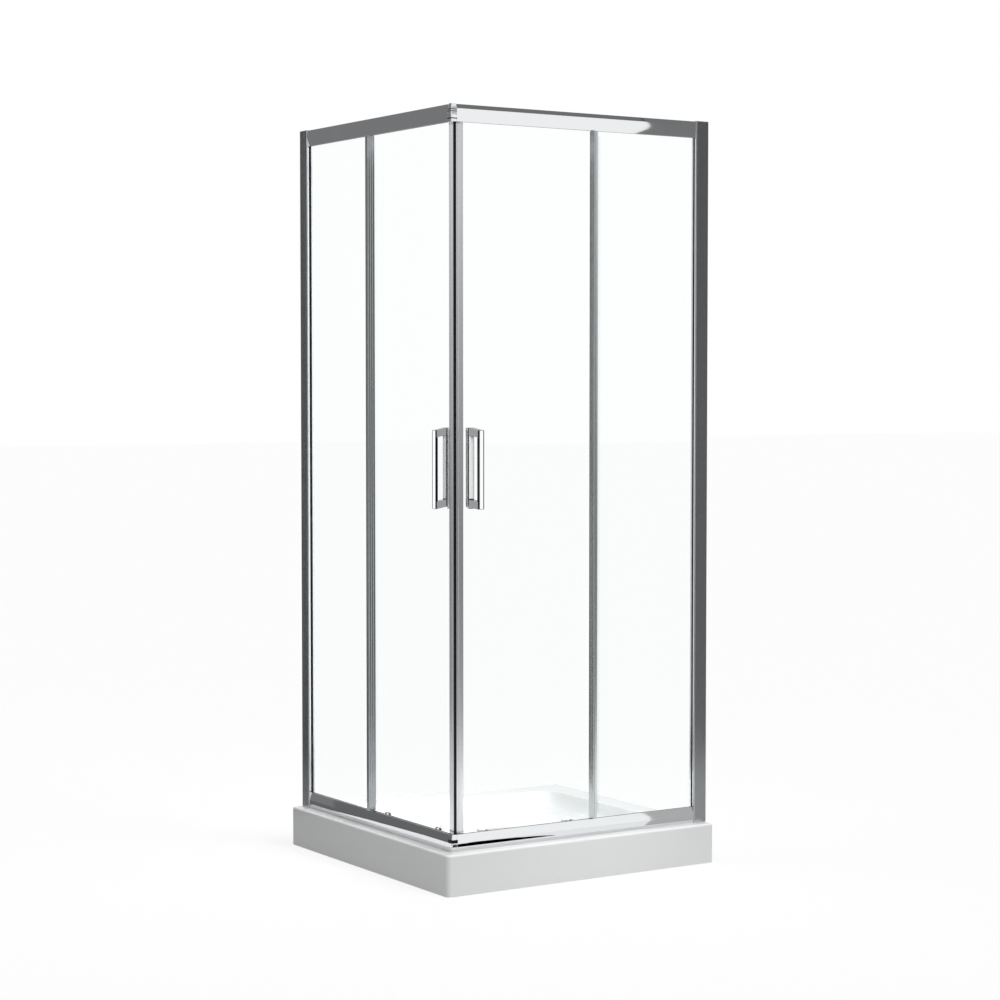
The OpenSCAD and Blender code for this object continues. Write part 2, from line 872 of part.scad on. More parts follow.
module handle_bolts(side) {
    color("gainsboro")
        on_side(side)
            for (dz = [-1, 1]) {
                z = rim_z + handle_z + dz * handle_bolt_half;
                bar_v(handle_u, z, door_v0 - base_t + 1.2, door_v1 + base_t - 1.2, bolt_r);
                bar_v(handle_u, z, door_v0 + 0.1, door_v1 - 0.1, handle_hole_r - fit_gap);
            }
}

// Axle, shoulder and head that carry a wheel, with heights from the rail's base
module wheel_axle(u, v1) {
    bar_v(u, axle_h, bead_v - wheel_w / 2 - 1, v1, axle_r);
    bar_v(u, axle_h, bead_v - wheel_w / 2 - 2.3, bead_v - wheel_w / 2 - 1, axle_head_r);
    bar_v(u, axle_h, bead_v + wheel_w / 2 + fit_gap, v1, axle_r + 1.4);
}

// Button-shaped clamp that holds a housing through the hole in the glass
clamp_r = 4;
clamp_t = 2.6;

module glass_clamp(u, h) {
    bar_v(u, h, door_v0, door_v1, glass_hole_r - 0.1);
    bar_v(u, h, door_v0 - clamp_t, door_v0, clamp_r);
}

// Top carrier: a jaw that holds the glass's top edge behind the rail and hangs from its wheel
carrier_half = 12;
carrier_h0 = 6;
carrier_h1 = door_edge_h + 6;
jaw_h0 = (arm_h + arm_t + door_edge_h) / 2;
jaw_t = 1.6;

module top_carriers(side) {
    plate_v1 = plate_v0 + plate_t;
    color("white")
        on_side(side)
            at_top()
                for (u = [wheel_u_front, wheel_u_rear(side)]) {
                    block([u - carrier_half, u + carrier_half], [plate_v0, plate_v1],
                          [carrier_h0, carrier_h1]);
                    difference() {
                        block([u - carrier_half, u + carrier_half], [door_v0 - jaw_t, plate_v1],
                              [jaw_h0, carrier_h1]);
                        block([u - carrier_half - 1, u + carrier_half + 1], [door_v0, door_v1],
                              [door_edge_h - fit_gap, carrier_h1 + 1]);
                    }
                    wheel_axle(u, plate_v0);
                }
}

// Bottom housing: a guide on the inside of the glass for the release slider
housing_half = 14;
housing_h0 = 30.5;
housing_h1 = 41;
slider_half = 4;
slider_v0 = plate_v0 + 0.5;
slider_t = 4;
housing_v1 = slider_v0 + slider_t + 2.6;

module bottom_housings(side) {
    color("white")
        on_side(side)
            at_rim()
                for (u = [wheel_u_front, wheel_u_rear(side)]) {
                    difference() {
                        block([u - housing_half, u + housing_half], [door_v1, housing_v1],
                              [housing_h0, housing_h1]);
                        block([u - slider_half - fit_gap, u + slider_half + fit_gap],
                              [slider_v0 - fit_gap, slider_v0 + slider_t + fit_gap],
                              [housing_h0 - 1, housing_h1 + 1]);
                    }
                    glass_clamp(u, low_hole_h);
                }
}

// Release slider: pressing the end of its tongue lowers the wheel off the bead
module release(side, u) {
    tongue_h1 = housing_h1 + release_travel + 0.5;
    foot_z = axle_h - 4.5;
    color("white")
        on_side(side)
            at_rim() {
                block([u - slider_half, u + slider_half], [slider_v0, slider_v0 + slider_t],
                      [foot_z, tongue_h1]);
                block([u - carrier_half, u + carrier_half], [slider_v0, slider_v0 + slider_t],
                      [foot_z, housing_h0 - 3]);
                wheel_axle(u, slider_v0);
            }
}

// Wheel with a groove that the bead lies in, height from the rail's base
module wheel(u) {
    translate([u, bead_v - wheel_w / 2, axle_h])
        rotate([-90, 0, 0])
            rotate_extrude($fn = fine)
                difference() {
                    translate([axle_hole_r, 0]) square([wheel_r - axle_hole_r, wheel_w]);
                    translate([arm_h - axle_h, wheel_w / 2]) circle(r = groove_cut_r, $fn = fine);
                }
}

module top_wheel(side, u) {
    color("white") on_side(side) at_top() wheel(u);
}

module low_wheel(side, u) {
    color("white") on_side(side) at_rim() wheel(u);
}

tray();
tray_board();
foot_pads();
foot_rods();
waste_body();
waste_seal();
waste_cover();
wall_profile(0);  // right_wall_profile
wall_profile(1);  // left_wall_profile
panel_profile(0);  // right_panel_profile
panel_profile(1);  // left_panel_profile
fixed_glass(0);  // right_fixed_glass
fixed_glass(1);  // left_fixed_glass
glass_gasket(0);  // right_glass_gasket
glass_gasket(1);  // left_glass_gasket
middle_post(0);  // right_middle_post
middle_post(1);  // left_middle_post
post_seal(0);  // right_post_seal
post_seal(1);  // left_post_seal
top_rail(0);  // right_top_rail
top_rail(1);  // left_top_rail
bottom_rail(0);  // right_bottom_rail
bottom_rail(1);  // left_bottom_rail
top_corner_joint();
bottom_corner_joint();
corner_screws();
profile_screws();
profile_caps();
door_stops();
door_glass(0);  // right_door_glass
door_glass(1);  // left_door_glass
door_stile(0);  // right_door_stile
door_stile(1);  // left_door_stile
magnet_seal(0);  // right_magnet_seal
magnet_seal(1);  // left_magnet_seal
tail_seal(0);  // right_tail_seal
tail_seal(1);  // left_tail_seal
outer_handle(0);  // right_outer_handle
outer_handle(1);  // left_outer_handle
inner_handle(0);  // right_inner_handle
inner_handle(1);  // left_inner_handle
handle_bolts(0);  // right_handle_bolts
handle_bolts(1);  // left_handle_bolts
top_carriers(0);  // right_top_carriers
top_carriers(1);  // left_top_carriers
bottom_housings(0);  // right_bottom_housings
bottom_housings(1);  // left_bottom_housings
top_wheel(0, wheel_u_front);  // right_top_wheel_front
top_wheel(0, wheel_u_rear(0));  // right_top_wheel_rear
top_wheel(1, wheel_u_front);  // left_top_wheel_front
top_wheel(1, wheel_u_rear(1));  // left_top_wheel_rear
release(0, wheel_u_front);  // right_release_front
release(0, wheel_u_rear(0));  // right_release_rear
release(1, wheel_u_front);  // left_release_front
release(1, wheel_u_rear(1));  // left_release_rear
low_wheel(0, wheel_u_front);  // right_low_wheel_front
low_wheel(0, wheel_u_rear(0));  // right_low_wheel_rear
low_wheel(1, wheel_u_front);  // left_low_wheel_front
low_wheel(1, wheel_u_rear(1));  // left_low_wheel_rear
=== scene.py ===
import json
import math

import bmesh
import bpy
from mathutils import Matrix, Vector


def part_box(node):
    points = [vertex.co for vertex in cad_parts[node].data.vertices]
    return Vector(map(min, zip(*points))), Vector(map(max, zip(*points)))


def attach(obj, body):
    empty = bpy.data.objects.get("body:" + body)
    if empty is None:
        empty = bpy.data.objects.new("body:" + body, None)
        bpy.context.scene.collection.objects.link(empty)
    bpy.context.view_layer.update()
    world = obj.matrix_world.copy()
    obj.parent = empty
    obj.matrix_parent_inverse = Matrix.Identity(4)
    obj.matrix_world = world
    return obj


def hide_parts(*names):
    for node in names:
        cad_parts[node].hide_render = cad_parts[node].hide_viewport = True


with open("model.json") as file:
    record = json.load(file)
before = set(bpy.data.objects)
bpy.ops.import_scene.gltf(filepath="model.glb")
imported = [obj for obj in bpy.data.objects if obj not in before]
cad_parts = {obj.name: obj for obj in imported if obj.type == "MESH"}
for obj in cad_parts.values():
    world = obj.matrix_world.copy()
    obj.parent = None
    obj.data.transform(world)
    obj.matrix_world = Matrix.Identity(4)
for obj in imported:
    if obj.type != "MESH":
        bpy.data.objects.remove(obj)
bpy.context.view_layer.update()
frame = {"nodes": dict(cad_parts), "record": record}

nodes = frame["nodes"]
record = frame["record"]
SIDES = ("right", "left")
ENDS = ("front", "rear")


# The tray: one sheet of cast white acrylic drawn over a mould, with a sunken basin, a flat
# rim that the frame stands on, and an upright skirt. Its back is sprayed with resin and
# glass fibre, and its shown side stays as glossy as the sheet was.
def colour(code):
    """A colour written as sRGB hex, turned to the linear values that Blender mixes."""
    parts = [int(code[i:i + 2], 16) / 255 for i in (0, 2, 4)]
    return [p / 12.92 if p <= 0.04045 else ((p + 0.055) / 1.055) ** 2.4 for p in parts] + [1]


def add(tree, kind, links=None, **settings):
    """Adds a node. A setting goes to the input of that name, or else to the node itself."""
    made = tree.nodes.new("ShaderNode" + kind)
    for key, value in settings.items():
        socket = made.inputs.get(key.replace("_", " "))
        if socket is None:
            setattr(made, key, value)
        else:
            socket.default_value = value
    for key, output in (links or {}).items():
        tree.links.new(output, made.inputs[key])
    return made


def marks(tree, size_mm, detail=2.0):
    """Soft marks of a real size: millimetres along X, Y and Z."""
    place = add(tree, "TexCoord").outputs["Object"]
    scaled = add(tree, "Mapping", {"Vector": place}, Scale=[1000 / mm for mm in size_mm])
    return add(tree, "TexNoise", {"Vector": scaled.outputs["Vector"]}, Scale=1.0,
               Detail=detail).outputs["Fac"]


def surface(name, gloss, smudge_mm, grain_mm, depth_mm, **settings):
    """A material with a gloss that drifts between two roughnesses in smudges of one size,
    and a grain of another size that stands out of the surface by a real depth, in mm."""
    made = bpy.data.materials.new(name)
    made.use_nodes = True
    tree = made.node_tree
    shader = tree.nodes["Principled BSDF"]
    for key, value in settings.items():
        shader.inputs[key.replace("_", " ")].default_value = value
    drift = add(tree, "MapRange", {"Value": marks(tree, smudge_mm, 3.0)}, From_Min=0.3,
                From_Max=0.7, To_Min=gloss[0], To_Max=gloss[1])
    tree.links.new(drift.outputs["Result"], shader.inputs["Roughness"])
    grain = add(tree, "Bump", {"Height": marks(tree, grain_mm)}, Strength=0.5,
                Distance=depth_mm / 1000)
    tree.links.new(grain.outputs["Normal"], shader.inputs["Normal"])
    return made


def finish_node(name, material):
    """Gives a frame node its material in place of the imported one."""
    mesh = nodes[name].data
    mesh.materials.clear()
    mesh.materials.append(material)


# Cast acrylic, gloss: a clean highlight over a cool white, with the faint waviness of a
# sheet that was drawn over its mould
acrylic = surface("cast_acrylic_gloss", (0.18, 0.26), (60, 60, 60), (35, 35, 35), 0.02,
                  Base_Color=colour("EEEFEF"), IOR=1.25)
finish_node("tray", acrylic)


# Board, feet and rods: a chipboard bonded in under the basin, four threaded steel rods
# screwed into it, and a moulded foot on each rod that is turned to level the tray.
body_of = {node: body for body, held in record["behaviour"]["bodies"].items() for node in held}


def soften(name, radius_mm, material):
    """A copy of a frame node that stands for it, with the edges broken as a maker does."""
    mesh = bpy.data.meshes.new(name + "_body")
    shape = bmesh.new()
    shape.from_mesh(nodes[name].data)
    bmesh.ops.remove_doubles(shape, verts=shape.verts, dist=0.00002)
    bmesh.ops.dissolve_limit(shape, angle_limit=math.radians(0.5), verts=shape.verts,
                             edges=shape.edges)
    shape.to_mesh(mesh)
    shape.free()
    return stand_for(name, bpy.data.objects.new(name + "_body", mesh), radius_mm, material)


def stand_for(name, piece, radius_mm, material):
    """Puts a new piece in a frame node's place: its body and its broken edges."""
    dress(piece, radius_mm, material)
    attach(piece, body_of[name])
    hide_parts(name)
    return piece


def dress(piece, radius_mm, material):
    """Links a piece, shades it smooth, breaks its edges and gives it its material."""
    mesh = piece.data
    if "custom_normal" in mesh.attributes:
        mesh.attributes.remove(mesh.attributes["custom_normal"])
    if "sharp_edge" in mesh.attributes:
        mesh.attributes.remove(mesh.attributes["sharp_edge"])
    mesh.polygons.foreach_set("use_smooth", [True] * len(mesh.polygons))
    mesh.materials.clear()
    mesh.materials.append(material)
    bpy.context.scene.collection.objects.link(piece)
    edge = piece.modifiers.new("broken_edges", "BEVEL")
    edge.width = radius_mm / 1000
    edge.segments = 2
    edge.limit_method = "ANGLE"
    edge.angle_limit = math.radians(28)
    edge.miter_outer = "MITER_ARC"
    flats = piece.modifiers.new("flat_faces", "WEIGHTED_NORMAL")
    flats.keep_sharp = True
    flats.weight = 100


# Raw chipboard: flakes from pale to toasted wood, dull all over, drawn about as large as
# they are
chipboard = surface("raw_chipboard", (0.8, 0.9), (30, 30, 8), (6, 6, 2), 0.3)
chip_tree = chipboard.node_tree
flakes = add(chip_tree, "ValToRGB", {"Fac": marks(chip_tree, (6, 6, 2), 4.0)})
flakes.color_ramp.elements[0].color = colour("A5824F")
flakes.color_ramp.elements[1].color = colour("DDC59A")
chip_tree.links.new(flakes.outputs["Color"], chip_tree.nodes["Principled BSDF"].inputs[0])

# Polypropylene, moulded: black with a dull, fine spark-eroded grain
foot_plastic = surface("polypropylene_moulded_black", (0.45, 0.6), (12, 12, 12),
                       (0.9, 0.9, 0.9), 0.03, Base_Color=colour("1E1F20"), IOR=1.49)

# Zinc-plated steel: a cool grey metal with a cloudy sheen
zinc_steel = surface("zinc_plated_steel", (0.22, 0.42), (5, 5, 5), (0.8, 0.8, 0.8), 0.02,
                     Base_Color=colour("C9CBCC"), Metallic=1.0)
soften("tray_board", 1.0, chipboard)
soften("foot_pads", 1.2, foot_plastic)
finish_node("foot_rods", zinc_steel)


# Waste: a low trap moulded in polypropylene, a rubber ring that seals it to the basin, and a
# brass cover, spun to a dome and chromed, that lifts out for cleaning.
# Polypropylene, pale: the milky grey of a plumbing part, slightly glossy
trap_plastic = surface("polypropylene_moulded_pale", (0.35, 0.5), (20, 20, 20), (1.2, 1.2, 1.2),
                       0.03, Base_Color=colour("DADAD8"), IOR=1.49)

# Synthetic rubber: near black, a dull skin with a fine tooth
black_rubber = surface("epdm_rubber_black", (0.45, 0.6), (9, 9, 9), (1.2, 1.2, 1.2), 0.04,
                       Base_Color=colour("121212"), IOR=1.5)

# Chromed brass: a near-white mirror with the softest haze where it is wiped
chromed_brass = surface("chromed_brass_polished", (0.04, 0.09), (25, 25, 25), (30, 30, 30),
                        0.01, Base_Color=colour("E2E3E5"), Metallic=1.0)
soften("waste_body", 0.5, trap_plastic)
finish_node("waste_seal", black_rubber)
finish_node("waste_cover", chromed_brass)


# Wall profiles: an aluminium channel drawn through a die, anodised bright and screwed to each
# wall. A panel profile slides in it to take up a wall that is out of true, is locked with
# screws from inside the cabin, and grips the fixed glass.
# Anodised aluminium, satin: soft upright reflections, with fine die lines along its length.
# The lines are drawn about four times as coarse as they are, so that they show.
def satin_aluminium(name, gloss, along, code="E2E4E6"):
    """Anodised aluminium with its die lines along one axis."""
    across = [2.2, 2.2, 2.2]
    across["xyz".index(along)] = 700
    return surface(name, gloss, across, across, 0.02, Base_Color=colour(code), Metallic=1.0)


satin = satin_aluminium("anodised_aluminium_satin", (0.17, 0.25), "z")
for side in SIDES:
    soften(f"{side}_wall_profile", 0.3, satin)
    soften(f"{side}_panel_profile", 0.3, satin)
soften("profile_screws", 0.3, zinc_steel)

# Chromed plastic: as bright as chromed brass, a little softer where the mould wasn't perfect
chromed_abs = surface("chromed_abs", (0.05, 0.1), (25, 25, 25), (18, 18, 18), 0.01,
                      Base_Color=colour("E2E3E5"), Metallic=1.0)
soften("profile_caps", 0.4, chromed_abs)


# Fixed glass: a pane of toughened glass with ground and polished edges. It is held in the
# panel profile by a vinyl strip on each face, in the rails' grooves and in the middle post.
def clear_body(name, code, gloss, ior):
    """A clear material. Light and what the metal mirrors pass straight through it."""
    made = surface(name, gloss, (90, 90, 90), (140, 140, 140), 0.01, Base_Color=colour(code),
                   IOR=ior, Transmission_Weight=1.0)
    tree = made.node_tree
    path = add(tree, "LightPath")
    straight = add(tree, "Math", {0: path.outputs["Is Shadow Ray"],
                                  1: path.outputs["Is Glossy Ray"]}, operation="MAXIMUM")
    open_way = add(tree, "BsdfTransparent", Color=colour(code))
    mix = add(tree, "MixShader", {0: straight.outputs[0],
                                  1: tree.nodes["Principled BSDF"].outputs[0],
                                  2: open_way.outputs[0]})
    tree.links.new(mix.outputs[0], tree.nodes["Material Output"].inputs["Surface"])
    return made


# Toughened glass: clear to the eye, with a faint cool tint. It mirrors less than bare glass
# does, as the photo's panes do.
clear_glass = clear_body("toughened_glass_clear", "FEFFFF", (0.0, 0.004), 1.08)

# Soft vinyl: clear and slightly milky, with a rubbed gloss
soft_vinyl = clear_body("soft_vinyl_clear", "FAFCFB", (0.1, 0.16), 1.06)
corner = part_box("tray")[0]


def span(name):
    """How far a node reaches along its side, into the cabin and up, in millimetres from
    the entry corner on the floor."""
    low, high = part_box(name)
    reach = [((low[i] - start) * 1000, (high[i] - start) * 1000)
             for i, start in enumerate((corner[0], corner[1], 0))]
    return [reach[1], reach[0], reach[2]] if name.startswith("left") else reach


def side_piece(name, side, points, faces):
    """A piece from points along a side, into the cabin and up, in millimetres."""
    order = (1, 0, 2) if side == "left" else (0, 1, 2)
    start = (corner[0], corner[1], 0)
    mesh = bpy.data.meshes.new(name)
    mesh.from_pydata([[start[i] + point[order[i]] / 1000 for i in range(3)]
                      for point in points], [], faces)
    shape = bmesh.new()
    shape.from_mesh(mesh)
    bmesh.ops.recalc_face_normals(shape, faces=shape.faces)
    shape.to_mesh(mesh)
    shape.free()
    return bpy.data.objects.new(name, mesh)


def upright(outline, z0, z1):
    """Points and faces of an outline in plan, drawn straight up."""
    count = len(outline)
    points = [(u, v, z) for z in (z0, z1) for u, v in outline]
    walls = [(i, (i + 1) % count, count + (i + 1) % count, count + i) for i in range(count)]
    return points, walls + [tuple(range(count)), tuple(range(count, 2 * count))]


def rectangle(u0, u1, v0, v1):
    """An outline in plan: along the side and into the cabin."""
    return [(u0, v0), (u1, v0), (u1, v1), (u0, v1)]


# Soft vinyl, grey: the same rubbed gloss, but not clear
grey_vinyl = surface("soft_vinyl_grey", (0.3, 0.4), (9, 9, 9), (1.2, 1.2, 1.2), 0.02,
                     Base_Color=colour("A9ABAC"), IOR=1.5)

# A strip of clear vinyl holds the pane from the front, and one of grey vinyl from behind. The
# grey one ends in a black bead, which stands out of the profile on the left. The right one
# is thinner and stays inside.
bead_out = {"right": -0.1, "left": 1.2}
bead_in = 0.3
bead_deep = {"right": 0.4, "left": 2.0}
bead_edge = 0.3
strip_edge = 0.2
for side in SIDES:
    soften(f"{side}_fixed_glass", 0.5, clear_glass)
    gasket = f"{side}_glass_gasket"
    (u0, u1), (v0, v1), (z0, z1) = span(gasket)
    _, (glass_v0, glass_v1), _ = span(f"{side}_fixed_glass")
    bead_u = u0 + bead_in
    bead = side_piece(f"{side}_gasket_bead", side, *upright(
        rectangle(u0 - bead_out[side], bead_u, glass_v1, glass_v1 + bead_deep[side]), z0, z1))
    stand_for(gasket, bead, bead_edge, black_rubber)
    for place, outline, material in (
            ("front", rectangle(u0, u1, v0, glass_v0), soft_vinyl),
            ("back", rectangle(bead_u, u1, glass_v1, v1), grey_vinyl)):
        strip = side_piece(f"{side}_{place}_strip", side, *upright(outline, z0, z1))
        dress(strip, strip_edge, material)
        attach(strip, body_of[gasket])


# Middle posts: a drawn profile pushed on the fixed pane's free edge, with fine flutes on its
# faces, and a clear lip that wipes the door glass behind it.
def fluted(start, end, flutes, depth, inward):
    """A straight edge of an outline with V flutes across it, each at a distance along it."""
    run = (Vector(end) - Vector(start)).normalized()
    edge = [Vector(start)]
    for at in flutes:
        edge += [edge[0] + run * (at - depth), edge[0] + run * at + Vector(inward) * depth,
                 edge[0] + run * (at + depth)]
    return [tuple(point) for point in edge] + [tuple(end)]


# The same metal with a darker colour, which mirrors a little less: painted shade on the posts
shaded_post_satin = satin_aluminium("anodised_aluminium_satin_painted_darker", (0.17, 0.25), "z", "C8CACC")

# Flutes as deep as they are half wide, each at its distance from the profile's edge, and the
# room between the glass and the slot that it sits in
flute = 0.7
post_end_flutes = (6.2, 12.2, 18.2)
post_face_flutes = (3.5,)
glass_gap = 0.3
profile_edge = 0.5
for side in SIDES:
    (u0, u1), (v0, v1), (z0, z1) = span(f"{side}_middle_post")
    (glass_u0, _), (glass_v0, glass_v1), _ = span(f"{side}_fixed_glass")
    slot_u = glass_u0 - glass_gap
    outline = fluted((u0, v1), (u0, v0), post_end_flutes, flute, (1, 0))
    outline += fluted((u0, v0), (u1, v0), post_face_flutes, flute, (0, 1))[1:]
    outline += [(u1, glass_v0 - glass_gap), (slot_u, glass_v0 - glass_gap),
                (slot_u, glass_v1 + glass_gap), (u1, glass_v1 + glass_gap), (u1, v1)]
    post = side_piece(f"{side}_post_profile", side, *upright(outline, z0, z1))
    # The posts take the darker copy of the satin metal, which is painted shade
    stand_for(f"{side}_middle_post", post, profile_edge, shaded_post_satin)
    soften(f"{side}_post_seal", strip_edge, soft_vinyl)


# Rails: drawn profiles with a bulged front, cut square at the walls and mitred at the entry
# corner. Each has a groove for the fixed glass and an arm that the doors' wheels run on.
# Anodised aluminium, bright: crisper reflections than the uprights, with the same die lines
bright_x = satin_aluminium("anodised_aluminium_bright_x", (0.03, 0.05), "x")
bright_y = satin_aluminium("anodised_aluminium_bright_y", (0.03, 0.05), "y")
for side, bright in zip(SIDES, (bright_x, bright_y)):
    soften(f"{side}_top_rail", 0.4, bright)
    soften(f"{side}_bottom_rail", 0.4, bright)


# Corner joints: chromed blocks, bulged like the rails beside them, with a leg that plugs into
# the end of each rail, where a screw holds it. Black bands on their two faces are painted
# shade, for the dark lines at their grooves.
# A rail's front is a shallow arc, which stands out most at one height above its base. A band
# of painted shade is given by the heights between which it runs.
joint_h = 41
block_w = 17.4
front_r = 110
bulge_z = 12
bulge_step = 4
painted_shade_bands = {"top_corner_joint": ((4, 6.5), (21.5, 23), (26.5, 28)),
         "bottom_corner_joint": ((20.5, 28.5),)}
band_proud = 0.15
band_t = 1
band_cut = 1.6


def bulge_dip(up):
    """How far a rail's front falls back at a height above its base, in millimetres."""
    return front_r - math.sqrt(front_r ** 2 - (up - bulge_z) ** 2)


# Black nylon, moulded: a dull black for the handles' inserts, also used for painted shade in
# the joints' bands and the strips on the handle plates
black_nylon_and_painted_shade = surface("nylon_black_and_painted_shade", (0.5, 0.6), (9, 9, 9), (1.5, 1.5, 1.5), 0.02,
                       Base_Color=colour("070708"), IOR=1.3)
for joint, heights in painted_shade_bands.items():
    block = soften(joint, 0.5, chromed_abs).data
    (u0, _), _, (_, z1) = span(joint)
    base = z1 - joint_h
    block_end = u0 + block_w
    shape = bmesh.new()
    shape.from_mesh(block)
    for up in range(bulge_step, joint_h, bulge_step):
        bmesh.ops.bisect_plane(shape, geom=shape.verts[:] + shape.edges[:] + shape.faces[:],
                               plane_co=(0, 0, (base + up) / 1000), plane_no=(0, 0, 1))
    for vert in shape.verts:
        dip = bulge_dip(vert.co.z * 1000 - base)
        for axis in (0, 1):
            inside = (corner[axis] + block_end / 1000 - vert.co[axis]) * 1000 / block_w
            vert.co[axis] += max(0, inside) * dip / 1000
    shape.to_mesh(block)
    shape.free()
    # Each band is a black strip of painted shade at a groove of the joint
    for count, (low, high) in enumerate(heights):
        face = u0 + min(bulge_dip(low), bulge_dip(high)) - band_proud
        back = face + band_t
        outline = [(face, block_end), (face, back), (back, face), (block_end, face),
                   (block_end, back), (face + band_cut, back), (back, face + band_cut),
                   (back, block_end)]
        band = side_piece(f"{joint}_band_{count}", "right",
                          *upright(outline, base + low, base + high))
        dress(band, 0.1, black_nylon_and_painted_shade)
        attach(band, body_of[joint])
soften("corner_screws", 0.3, zinc_steel)


# Stops: rubber blocks clipped on the top rails' arms at both ends of each door's travel.
soften("door_stops", 0.8, black_rubber)


# Doors: a pane of toughened glass, drilled for its handle and its carriers, that hangs
# behind the fixed pane. A clear seal is clipped on its rear edge.
for side in SIDES:
    soften(f"{side}_door_glass", 0.4, clear_glass)
    soften(f"{side}_tail_seal", 0.2, soft_vinyl)


# Closing profiles: drawn aluminium, mitred so that the two doors meet at the corner, glued on
# the front edge of each pane, with a black magnetic seal pushed into a groove in the mitre.
stile_flutes = (6.5,)
for side in SIDES:
    (u0, u1), (v0, v1), (z0, z1) = span(f"{side}_door_stile")
    (glass_u0, _), (glass_v0, glass_v1), _ = span(f"{side}_door_glass")
    slot_u = glass_u0 - glass_gap
    outline = fluted((u0, v0), (u1, v0), stile_flutes, flute, (0, 1))
    outline += [(u1, glass_v0 - glass_gap), (slot_u, glass_v0 - glass_gap),
                (slot_u, glass_v1 + glass_gap), (u1, glass_v1 + glass_gap), (u1, v1),
                (u0 + v1 - v0, v1)]
    stile = side_piece(f"{side}_closing_profile", side, *upright(outline, z0, z1))
    stand_for(f"{side}_door_stile", stile, profile_edge, satin)

# Magnetic strip: ferrite in black vinyl, smoother than the rubber
magnet_strip = surface("magnetic_vinyl_black", (0.35, 0.5), (9, 9, 9), (1.2, 1.2, 1.2), 0.03,
                       Base_Color=colour("0C0C0D"), IOR=1.5)
for side in SIDES:
    soften(f"{side}_magnet_seal", 0.3, magnet_strip)


# Handles: a loop of chromed zinc on each face of a door, bolted to each other through the
# glass. The grip stands out beside its base and hangs a little below it. A polished plate
# covers its outward face between a black nylon insert and a black strip of painted shade,
# and the flat base has a lacquered face.
# Chromed zinc: a bright mirror over a polished casting
chromed_zinc = surface("chromed_zinc_polished", (0.05, 0.09), (25, 25, 25), (18, 18, 18), 0.01,
                       Base_Color=colour("F2F3F4"), Metallic=1.0)

# Chromed zinc, satin: a darker and softer mirror on the base bar and the arms
satin_zinc = surface("chromed_zinc_satin", (0.14, 0.2), (25, 25, 25), (18, 18, 18), 0.01,
                     Base_Color=colour("9A9C9E"), Metallic=1.0)

# Pale lacquer: a light grey strip on the base bar, dull beside the mirrors
pale_lacquer = surface("lacquer_satin_pale", (0.35, 0.45), (14, 14, 14), (1.5, 1.5, 1.5), 0.02,
                       Base_Color=colour("F0F1F2"), IOR=1.45)

# The grip and what covers it: an insert along its inner flank, the plate on its face and a
# black strip of painted shade down the plate's outer edge
grip_w = 16.0
grip_d = 7.0
grip_drop = 6.0
insert_w = 6.6
insert_deep = {"right": 3.4, "left": 1.0}
insert_proud = 0.1
insert_edge = 0.4
plate_t = 0.4
plate_proud = 0.1
plate_end = 1.0
# The strip of painted shade: how wide it is, and how far it stays from the grip's edge
shade_w = 2.8
shade_side = 0.3

# The base bar, and the lacquered faces on it and on the inner handle
bar_t = 4.0
bar_face_low = 26
bar_face_high = 19
bar_face_sides = (2, 1)
pad_side = 0.5
pad_proud = 0.05
handle_edge = 0.8
thin_edge = 0.1
for side in SIDES:
    soften(f"{side}_inner_handle", handle_edge, satin_zinc)
    (u0, _), (v0, _), (z0, z1) = span(f"{side}_inner_handle")
    pad = side_piece(f"{side}_inner_handle_pad", side, *upright(
        rectangle(u0 + pad_side, u0 + grip_w - pad_side, v0 - pad_proud, v0 + plate_t),
        z0 + grip_drop + pad_side, z1 - pad_side))
    dress(pad, thin_edge, pale_lacquer)
    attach(pad, body_of[f"{side}_inner_handle"])
    name = f"{side}_outer_handle"
    soften(name, handle_edge, satin_zinc)
    (u0, u1), (v0, v1), (z0, z1) = span(name)
    middle = v0 + grip_d / 2
    face_u = u1 - grip_w
    half = insert_w / 2
    deep = face_u + insert_deep[side]
    insert = [(face_u - insert_proud, middle - half + insert_edge),
              (face_u - insert_proud, middle + half - insert_edge),
              (face_u + insert_edge, middle + half), (deep, middle + half),
              (deep, middle - half), (face_u + insert_edge, middle - half)]
    plate_v = v0 - plate_proud
    bar_v = v1 - bar_t - plate_proud
    plate = rectangle(deep, u1 - shade_w, plate_v, plate_v + plate_t)
    # A black strip of painted shade down the plate's outer edge
    painted_shade_strip = rectangle(u1 - shade_w, u1 - shade_side, plate_v, plate_v + plate_t)
    bar_face = rectangle(u0 + bar_face_sides[0], u0 + grip_w - bar_face_sides[1],
                         bar_v, bar_v + plate_t)
    grip_z = (z0 + plate_end, z1 - grip_drop - plate_end)
    bar_z = (z0 + bar_face_low, z1 - bar_face_high)
    for part, outline, (low, high), material, like in (
            ("insert", insert, grip_z, black_nylon_and_painted_shade, "door_stops"),
            ("plate", plate, grip_z, chromed_zinc, name),
            ("edge", painted_shade_strip, grip_z, black_nylon_and_painted_shade, "door_stops"),
            ("bar_face", bar_face, bar_z, pale_lacquer, f"{side}_bottom_housings")):
        piece = side_piece(f"{name}_{part}", side, *upright(outline, low, high))
        dress(piece, thin_edge, material)
        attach(piece, body_of[name])
    soften(f"{side}_handle_bolts", 0.3, zinc_steel)


# Carriers: white moulded brackets. The top ones grip the glass's edge and hang a door from
# its wheels. In each bottom one a slider carries the wheel and is pressed down to free the
# door for cleaning, and a black button in front of the glass clamps it.
# Acetal, moulded: a clean white plastic with a soft sheen
white_acetal = surface("acetal_moulded_white", (0.35, 0.48), (14, 14, 14), (0.9, 0.9, 0.9),
                       0.03, Base_Color=colour("EDEEED"), IOR=1.48)


